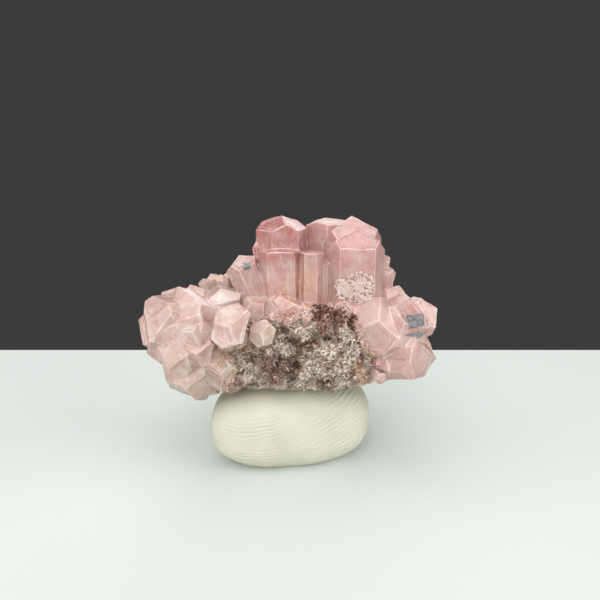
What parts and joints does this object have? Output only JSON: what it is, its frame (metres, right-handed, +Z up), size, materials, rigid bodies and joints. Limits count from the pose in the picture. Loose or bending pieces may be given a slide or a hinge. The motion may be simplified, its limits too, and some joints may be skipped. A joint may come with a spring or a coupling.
{
  "type": "pink calcite crystal cluster on mineral tack",
  "caption": "Cluster of intergrown translucent pink hexagonal calcite crystals on a druse-covered matrix, held upright by a rounded pad of mineral tack.",
  "frame": {"origin": "centre of the whole object's plan, on the surface that the tack pad stands on", "axes": "+X to the right along the cluster's length, +Y to the back, +Z up; the side that the crystals face is -Y"},
  "size_m": [0.0306, 0.015, 0.0259],
  "materials": {
    "calcite": "gloss",
    "cream_calcite": "satin",
    "tan_calcite": "satin",
    "matrix": "matte",
    "tack": "satin"
  },
  "bodies": {
    "root": {"calcite_crystals": "calcite", "matrix": "matrix", "cream_crystal": "cream_calcite", "nub_crystal": "calcite", "tan_crystals": "tan_calcite", "mineral_tack": "tack"}
  },
  "joints": []
}
